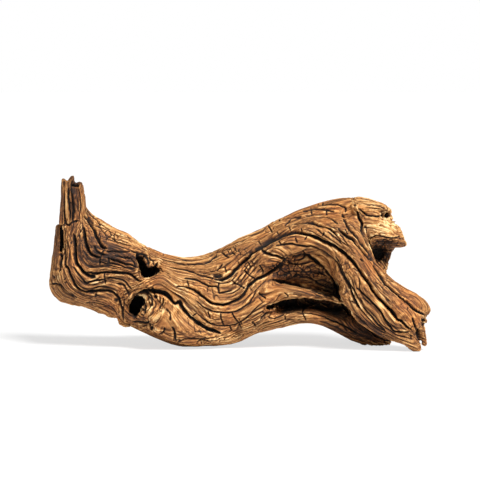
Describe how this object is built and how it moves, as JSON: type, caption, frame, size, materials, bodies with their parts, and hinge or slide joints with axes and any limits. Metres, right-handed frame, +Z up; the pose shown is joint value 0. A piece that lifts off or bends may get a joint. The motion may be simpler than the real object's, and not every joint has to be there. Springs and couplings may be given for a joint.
{
  "type": "piece of driftwood",
  "caption": "Gnarled piece of weathered driftwood with broken spires, an arching body, a front leg and deep grain cracks; it rests free on its underside.",
  "frame": {"origin": "centre of the bounding box in X and Y, at the height of the surface it rests on", "axes": "+X along the length, from the broken spires to the front leg's toe; -Y is the side with the front leg; +Z up"},
  "size_m": [0.396, 0.1198, 0.1792],
  "materials": {
    "weathered_wood": "matte, water-worn"
  },
  "bodies": {
    "root": {"driftwood": "weathered_wood"}
  },
  "joints": []
}
